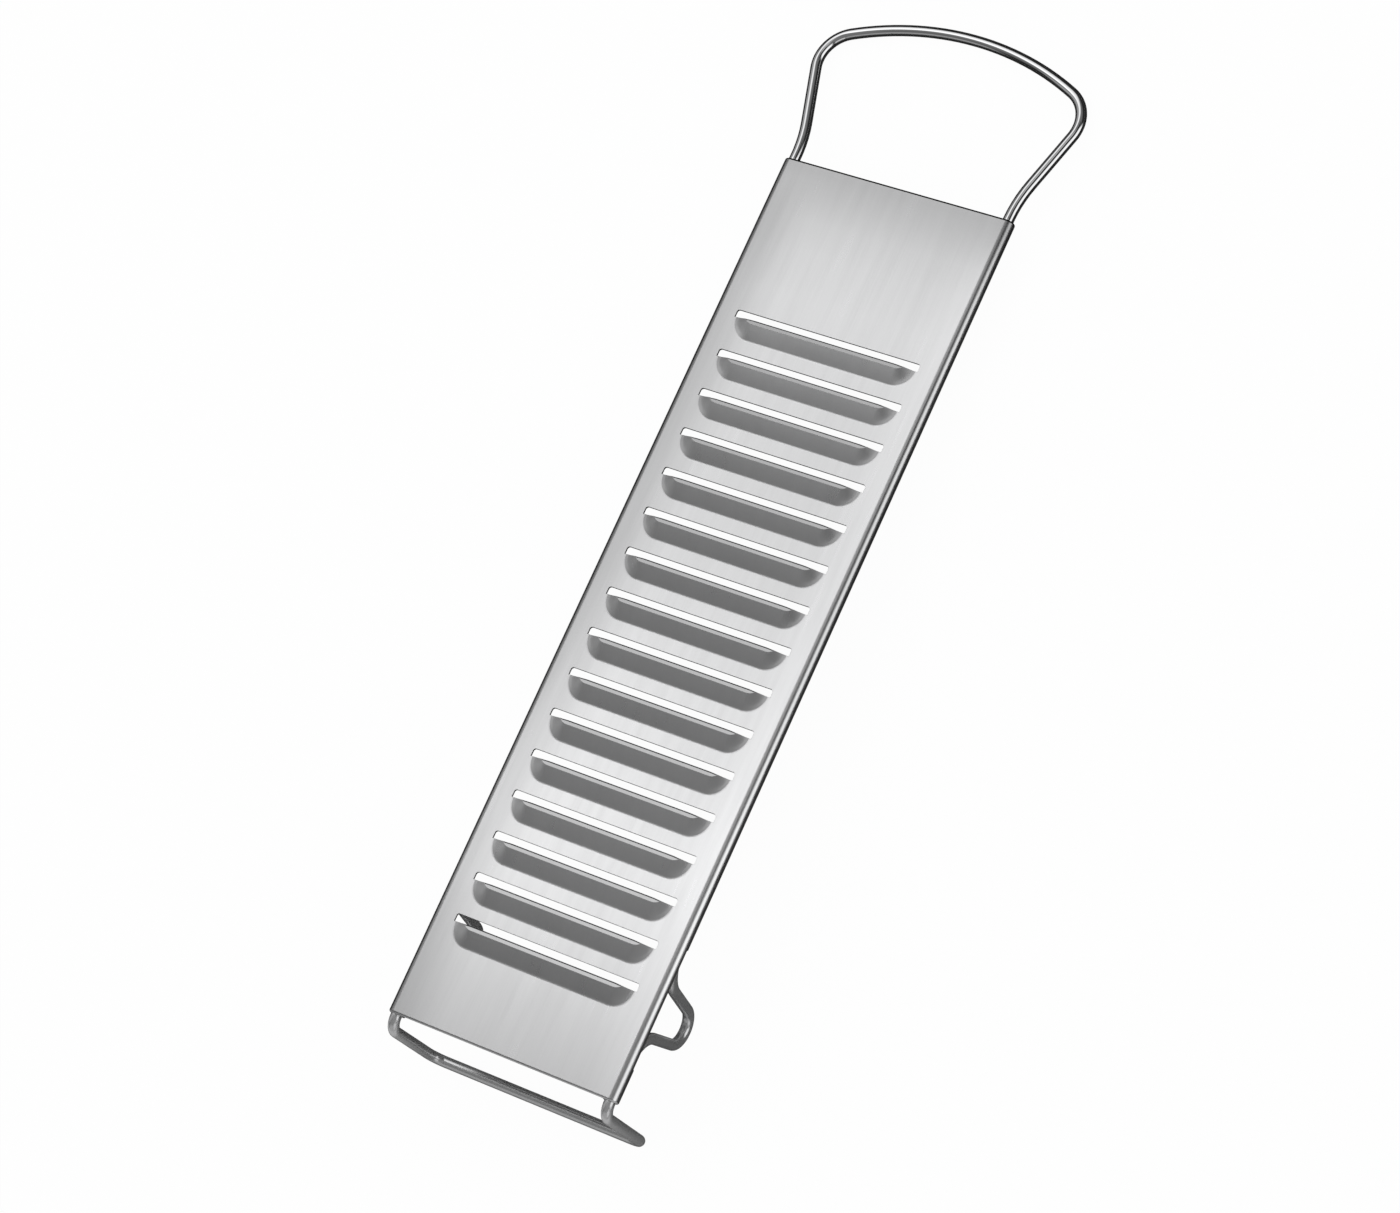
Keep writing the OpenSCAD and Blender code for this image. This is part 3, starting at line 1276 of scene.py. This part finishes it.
@dataclass
class Studio:
    """Camera, floor, soft boxes and the dark cards that steel reflects, in metres."""

    # The camera: its lens and film in millimetres, its place and its three axes.
    lens: float = 108.36
    film: float = 36.0
    clip: Pair = (0.05, 50.0)
    eye: Triple = (0.584015, -0.184288, 1.209855)
    right: Triple = (0.84959678, 0.37712503, -0.36873029)
    above: Triple = (-0.2909758, 0.91822606, 0.2686894)
    back: Triple = (0.43990726, -0.12098606, 0.88985615)
    # The room: the world's light, the floor, the walls and the lamp.
    world_light: float = 0.7
    floor_side: float = 8.0
    paper: float = 0.9
    floor_glow: float = 0.97
    wall_r: float = 3.4
    wall_segments: int = 48
    wall_rings: int = 24
    walls: Glow = Glow(0.17, 0.02, (("Z", 1.2, 2.6),))
    lamp_watts: float = 3.0
    lamp_size: float = 0.9
    lamp_place: Triple = (-0.5, 0.35, 1.2)

    def camera(self) -> None:
        """Puts the camera where the photograph was taken from."""
        data = bpy.data.cameras.new("camera")
        data.lens = self.lens
        data.sensor_width = self.film
        data.clip_start, data.clip_end = self.clip
        eye = bpy.data.objects.new("camera", data)
        bpy.context.scene.collection.objects.link(eye)
        turn = Matrix((self.right, self.above, self.back)).transposed().to_4x4()
        eye.matrix_world = Matrix.Translation(self.eye) @ turn
        bpy.context.scene.camera = eye

    def seen(self, graph: Graph) -> Socket:
        """Tells apart the rays that show the room itself.

        Args:
            graph: The graph of the floor or the world.

        Returns:
            1 for what comes straight, mirrored or through glass, and 0 for the rest.
        """
        camera, glossy, through = (
            graph.node("LightPath", output=f"Is {ray} Ray")
            for ray in ("Camera", "Glossy", "Transmission")
        )
        return (camera + glossy + through).clamp(0.0, 1.0)

    def world(self) -> None:
        """Makes the world white where it is seen, and a plain light elsewhere."""
        world = bpy.data.worlds.new("white_room")
        bpy.context.scene.world = world
        graph = Graph(world)
        level = self.seen(graph) * (1.0 - self.world_light) + self.world_light
        inputs = {"Color": WHITE, "Strength": level}
        graph.end(graph.node("Background", inputs), "World")

    def floor(self) -> None:
        """Lays the floor: white where it is seen, but for the object's shadow."""
        graph = Graph(bpy.data.materials.new("white_floor"))
        paper = (self.paper, self.paper, self.paper, 1.0)
        shadowed = graph.node("BsdfDiffuse", {"Color": paper})
        glow = graph.node("Emission", {"Color": WHITE, "Strength": 1.0})
        share = self.seen(graph) * self.floor_glow
        graph.end(graph.node("MixShader", {0: share, 1: shadowed, 2: glow}))
        piece = self.square("floor", Matrix.Scale(self.floor_side, 4))
        piece.data.materials.append(graph.owner)

    def square(self, name: str, lie: Matrix) -> bpy.types.Object:
        """Cuts a square of 1 m and lays it by a matrix.

        Args:
            name: Its name.
            lie: The matrix.

        Returns:
            The square.
        """
        bench = Bench(name)
        bench.plane((-0.5, -0.5), (0.5, 0.5))
        bpy.ops.object.mode_set(mode="OBJECT")
        return bench.place(lie)

    def hang(self, card: Card) -> None:
        """Hangs one card where only reflections see it.

        Args:
            card: The card.
        """
        wide, high = Vector(card.wide), Vector(card.high)
        lie = Matrix((wide, high, wide.cross(high))).transposed().to_4x4()
        piece = self.square(card.name, Matrix.Translation(card.middle) @ lie)
        self.stand(piece, card.glow.material(card.name))

    def room(self) -> None:
        """Puts the dark walls of the studio round the cards."""
        bench = Bench("dark_room")
        bpy.ops.mesh.primitive_uv_sphere_add(
            segments=self.wall_segments, ring_count=self.wall_rings, radius=self.wall_r
        )
        bench.take()
        self.stand(bench.place(Matrix()), self.walls.material("dark_walls"))

    def stand(self, piece: bpy.types.Object, material: bpy.types.Material) -> None:
        """Puts a piece on the stage that only reflections see.

        Args:
            piece: The piece.
            material: Its material.
        """
        piece.data.materials.append(material)
        for ray in ("camera", "diffuse", "transmission", "volume_scatter", "shadow"):
            setattr(piece, f"visible_{ray}", False)

    def lamp(self) -> None:
        """Hangs the lamp that lays the object's soft shadow on the floor."""
        data = bpy.data.lights.new("soft_lamp", "AREA")
        data.shape = "RECTANGLE"
        data.size = data.size_y = self.lamp_size
        data.energy = self.lamp_watts
        lamp = bpy.data.objects.new("soft_lamp", data)
        bpy.context.scene.collection.objects.link(lamp)
        lamp.location = self.lamp_place
        lamp.rotation_euler = Vector(lamp.location).to_track_quat("Z", "Y").to_euler()
        lamp.visible_glossy = False

    def make(self) -> None:
        """Sets up the whole studio."""
        self.camera()
        self.world()
        self.floor()
        for card in CARDS:
            self.hang(card)
        self.room()
        self.lamp()


def main() -> None:
    """Makes the slicer and its studio."""
    logging.basicConfig(level=logging.INFO, format="%(name)s: %(message)s")
    bpy.context.scene.view_settings.view_transform = "Standard"
    Studio().make()
    for maker in (SlicingPlate(), HandleWire(), FootWire()):
        piece = maker.make()
        log.info("%s: %d faces", piece.name, len(piece.data.polygons))


if __name__ == "__main__":
    main()
